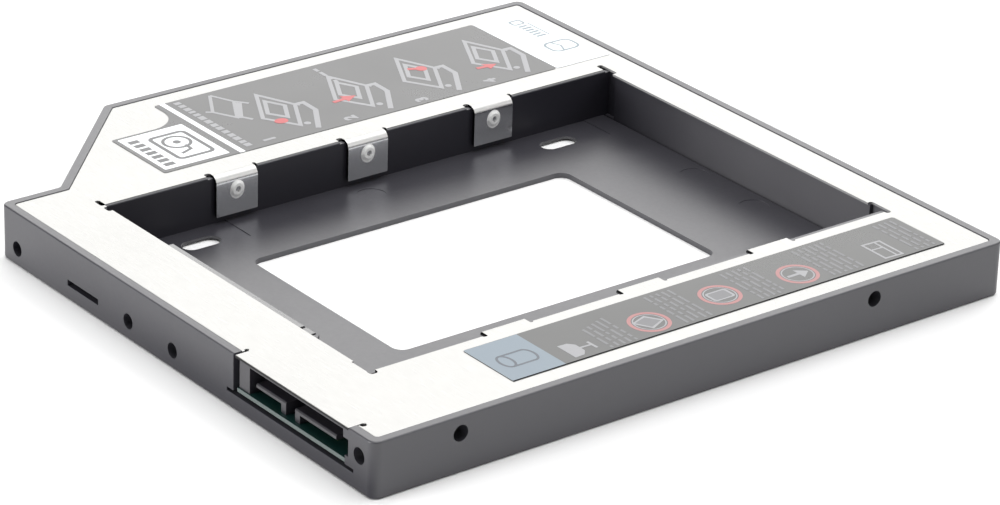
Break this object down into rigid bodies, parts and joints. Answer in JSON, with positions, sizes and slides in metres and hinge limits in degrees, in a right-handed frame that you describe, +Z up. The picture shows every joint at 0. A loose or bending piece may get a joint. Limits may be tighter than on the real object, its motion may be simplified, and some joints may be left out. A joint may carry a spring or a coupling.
{
  "type": "laptop drive caddy",
  "caption": "Flat optical-bay caddy with a stepped corner, sheet-metal lid, open drive bay with spring tabs, adapter board and rear host connector.",
  "frame": {"origin": "middle of the bounding box on the underside", "axes": "+Z up through the lid; -Y the edge with the host connector; +X the straight side with two screw holes; -X the side with the stepped corner"},
  "size_m": [0.128, 0.126, 0.0095],
  "materials": {
    "tray_plastic": "fine moulded, low sheen",
    "lid_steel": "bright satin",
    "board_green": "solder mask",
    "connector_black": "moulded",
    "contact_gold": "plated",
    "clip_tin": "tinned",
    "capacitor_tan": "ceramic",
    "resistor_black": "ceramic",
    "screw_steel": "dark zinc",
    "insert_steel": "machined",
    "film_black": "smooth film",
    "label_dark": "printed film",
    "label_pale": "printed film",
    "label_strip_grey": "printed film"
  },
  "bodies": {
    "root": {"tray": "tray_plastic", "cover_plate": "lid_steel", "adapter_board": "board_green", "host_plug_housing": "connector_black", "host_power_contacts": "contact_gold", "host_signal_contacts": "contact_gold", "host_plug_clips": "clip_tin", "drive_socket_housing": "connector_black", "drive_power_contacts": "contact_gold", "drive_signal_contacts": "contact_gold", "drive_socket_clips": "clip_tin", "board_capacitors": "capacitor_tan", "board_resistors": "resistor_black", "board_screws": "screw_steel", "cover_screws": "screw_steel", "mount_inserts": "insert_steel", "insulating_film": "film_black", "label_instructions": "label_dark", "label_drive": "label_pale", "label_strip": "label_strip_grey"}
  },
  "joints": []
}
